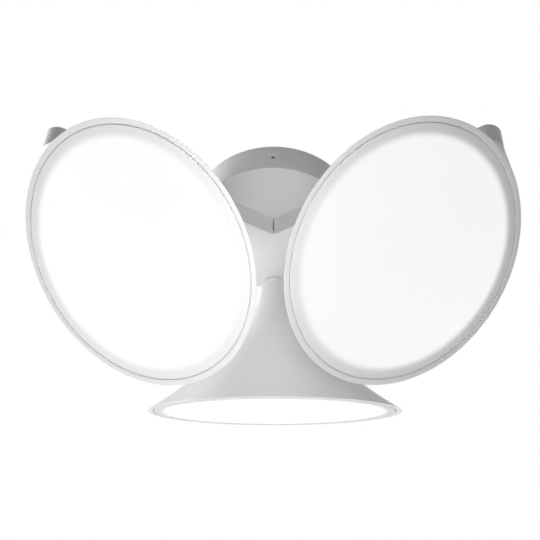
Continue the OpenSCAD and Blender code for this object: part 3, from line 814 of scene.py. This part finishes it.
roseScrews = finished(makeRoseScrews(roseScrewSettings), "base", ["rose_screws"], powderCoat)
bareSockets(roseScrews, roseScrewSettings, screwSteel)
finished(makeLidScrews(lidScrewSettings), "base", ["lid_screws"], screwSteel)
print("screws made")


# Rose: a straight cup with a soft lower edge, three countersunk holes in its side and holes in its floor

roseSettings = {
    "wall": 3, "edge": 1.0, "lipEdge": 0.4, "centreHole": 5.2, "boltHole": 2.75, "screwHole": 2.75,
    "sinkFrom": 0.15, "earHole": 1.5, "earX": 46, "earY": 30, "earFloor": 1, "earSides": 32, "sides": 192,
}


def makeRose(settings):
    radius, low, high, wall = roseHigh.x, roseLow.z, roseHigh.z, settings["wall"]
    cup = lathe("rose_cup", settings["sides"], [
        (settings["centreHole"], low, 0), (radius, low, settings["edge"]), (radius, high, settings["lipEdge"]),
        (radius - wall, high, settings["lipEdge"]), (radius - wall, low + wall, 0),
        (settings["centreHole"], low + wall, 0)])
    floorTop = low + wall + beyond
    cutters = onEachArm(lambda: cylinder(
        "hole", settings["boltHole"], low - beyond, floorTop, holeSides, (frameSettings["boltReach"], 0)))
    for side in (-1, 1):
        cutters.append(cylinder(
            "hole", settings["earHole"], low + settings["earFloor"], floorTop, settings["earSides"],
            (side * settings["earX"], settings["earY"])))
    outward = Matrix.Translation((radius - wall, 0, (low + high) / 2)) @ sideways
    for angle in gapAngles:
        bore = cylinder("bore", settings["screwHole"], -beyond, wall + beyond)
        bore.data.transform(outward)
        cutters.append(turned(bore, angle))
    combine(cup, cutters, "DIFFERENCE")
    sinks = []
    for angle in gapAngles:
        sink = cylinder(
            "sink", settings["screwHole"], settings["sinkFrom"], settings["sinkFrom"] + wall,
            topRadius=settings["screwHole"] + wall)
        sink.data.transform(outward)
        sinks.append(turned(sink, angle))
    combine(cup, sinks, "DIFFERENCE")
    return cup


finished(makeRose(roseSettings), "base", ["ceiling_rose"], powderCoat)
print("rose made")


# Cable grommet: a rubber ring whose flange lies under the plate

grommetSettings = {
    "seat": 11, "flange": 13, "bore": 7, "plate": 2.5, "lowEdge": 0.8, "thinEdge": 0.3, "mouthEdge": 0.5,
    "at": (0, -32), "sides": 96,
}


def makeGrommet(settings):
    plate, bore, flange, seat = settings["plate"], settings["bore"], settings["flange"], settings["seat"]
    ring = lathe("grommet_ring", settings["sides"], [
        (bore, -2 * plate, settings["lowEdge"]), (flange, -2 * plate, settings["lowEdge"]),
        (flange, -plate, settings["thinEdge"]), (seat, -plate, 0), (seat, 0, settings["thinEdge"]),
        (bore, 0, settings["mouthEdge"])])
    ring.data.transform(Matrix.Translation((*settings["at"], 0)))
    return ring


finished(makeGrommet(grommetSettings), "base", ["cable_grommet"], epdmRubber)
print("grommet made")


# The pieces that keep their CAD shape get the finish of their material slot

slotFinishes = {
    "white_lacquer_steel": powderCoat, "white_lacquer_abs": lacqueredAbs, "opal_diffuser": opal,
    "zinc_plate": zincPlate, "steel_screw": screwSteel, "spring_steel": springSteel, "brass": turnedBrass,
    "aluminium_plate": rolledAluminium, "black_rubber": epdmRubber, "white_nylon": naturalNylon,
    "white_casing": texturedCase, "green_board": greenBoard, "white_board": whiteMask, "led_phosphor": ledGel,
    "white_sleeving": siliconeSleeve,
}
for subpart in frame["record"]["subparts"]:
    node = frame["nodes"][subpart["node"]]
    node.data.materials.clear()
    node.data.materials.append(slotFinishes[subpart["material_slot"]])
print("finishes given")


# Studio: a pale floor well below the light, soft lamps and a white backdrop

studioSettings = {
    "floorDepth": 1.9, "floorSize": 60, "floorSeen": "#f2f2f2", "floorBounce": "#949494", "floorLift": 0.58,
    "floorRoughness": 0.9, "behind": 0.5, "right": 0.15,
}
lampAim = Vector((0, 0, -0.1))     # metres, the middle of the light
lamps = {     # power in watts, the rest in metres
    "left": {"power": 7.5, "size": 1.0, "from": (-1.8, 0.0, -0.4)},
    "low": {"power": 1.5, "size": 1.0, "from": (0.0, 0.2, -1.7)},
    "left_rear": {"power": 9, "size": 1.0, "from": (-1.4, 1.2, -0.3)},
    "left_rear_low": {"power": 6.5, "size": 1.0, "from": (-1.2, 0.9, -1.1)},
    "right_rear": {"power": 8.5, "size": 1.0, "from": (1.4, 1.2, -0.3)},
    "upper_rear": {"power": 2.5, "size": 1.0, "from": (0.0, 1.5, 0.9)},
    "upper_left": {"power": 3, "size": 0.5, "from": (-0.7, 0.0, 0.5)},
    "front_low": {"power": 1.4, "size": 0.4, "from": (0.0, -0.4, -0.7)},
    "front_level": {"power": 0.78, "size": 0.4, "from": (0.0, -0.8, -0.25)},
    "middle_low": {"power": 0.3, "size": 0.25, "from": (0.0, 0.0, -0.6)},
    "middle": {"power": 0.19, "size": 0.15, "from": (0.0, -0.25, -0.35)},
}


def seenRays(tree):
    # 1 for what the camera sees, directly, in a reflection or through glass
    path = addNode(tree, "ShaderNodeLightPath")
    mirrored = addNode(tree, "ShaderNodeMath", {"operation": "MAXIMUM"}, {
        0: path.outputs["Is Camera Ray"], 1: path.outputs["Is Glossy Ray"]})
    through = addNode(tree, "ShaderNodeMath", {"operation": "MAXIMUM"}, {
        0: mirrored.outputs["Value"], 1: path.outputs["Is Transmission Ray"]})
    return through.outputs["Value"]


def makeFloor(settings):
    # pale to the camera and in reflections, and greyer for the light that it sends back up
    deselectAll()
    bpy.ops.mesh.primitive_plane_add(size=settings["floorSize"], location=(0, 0, -settings["floorDepth"]))
    floor = added("studio_floor")
    material, tree = newMaterial("studio_paper")
    looked = seenRays(tree)
    tone = rampOf(tree, looked, [(0.0, linear(settings["floorBounce"])), (1.0, linear(settings["floorSeen"]))])
    lift = addNode(tree, "ShaderNodeMath", {"operation": "MULTIPLY", 1: settings["floorLift"]}, {0: looked})
    shader = addNode(
        tree, "ShaderNodeBsdfPrincipled",
        {"Roughness": settings["floorRoughness"], "Emission Color": [1, 1, 1, 1]},
        {"Base Color": tone, "Emission Strength": lift.outputs["Value"]})
    surfaceOut(tree, shader)
    floor.data.materials.append(material)


def makeWorld(settings):
    # white to the camera and in reflections, and soft light from behind and from the right on the object
    world = bpy.data.worlds.new("studio")
    bpy.context.scene.world = world
    world.use_nodes = True
    tree = world.node_tree
    tree.nodes.clear()
    direction = addNode(tree, "ShaderNodeTexCoord").outputs["Generated"]
    levels = []
    for towards, strength in (((0, 1, 0), settings["behind"]), ((1, 0, 0), settings["right"])):
        along = addNode(tree, "ShaderNodeVectorMath", {"operation": "DOT_PRODUCT", 1: towards}, {0: direction})
        ahead = addNode(tree, "ShaderNodeMath", {"operation": "MAXIMUM", 1: 0.0}, {0: along.outputs["Value"]})
        level = addNode(
            tree, "ShaderNodeMath", {"operation": "MULTIPLY", 1: strength}, {0: ahead.outputs["Value"]})
        levels.append(level.outputs["Value"])
    both = addNode(tree, "ShaderNodeMath", {"operation": "ADD"}, {0: levels[0], 1: levels[1]})
    soft = addNode(tree, "ShaderNodeBackground", {"Color": [1, 1, 1, 1]}, {"Strength": both.outputs["Value"]})
    white = addNode(tree, "ShaderNodeBackground", {"Color": [1, 1, 1, 1], "Strength": 1.0})
    mixed = addNode(
        tree, "ShaderNodeMixShader",
        links={0: seenRays(tree), 1: soft.outputs["Background"], 2: white.outputs["Background"]})
    addNode(tree, "ShaderNodeOutputWorld", links={"Surface": mixed.outputs["Shader"]})


def makeLamp(name, settings):
    deselectAll()
    bpy.ops.object.light_add(type="AREA", location=settings["from"])
    lamp = bpy.context.object
    lamp.name = name + "_lamp"
    lamp.data.energy = settings["power"]
    lamp.data.size = settings["size"]
    lamp.visible_camera = False
    aim = lampAim - lamp.location
    lamp.rotation_euler = aim.to_track_quat("-Z", "Y").to_euler()


makeFloor(studioSettings)
makeWorld(studioSettings)
for name, settings in lamps.items():
    makeLamp(name, settings)
print("studio made")
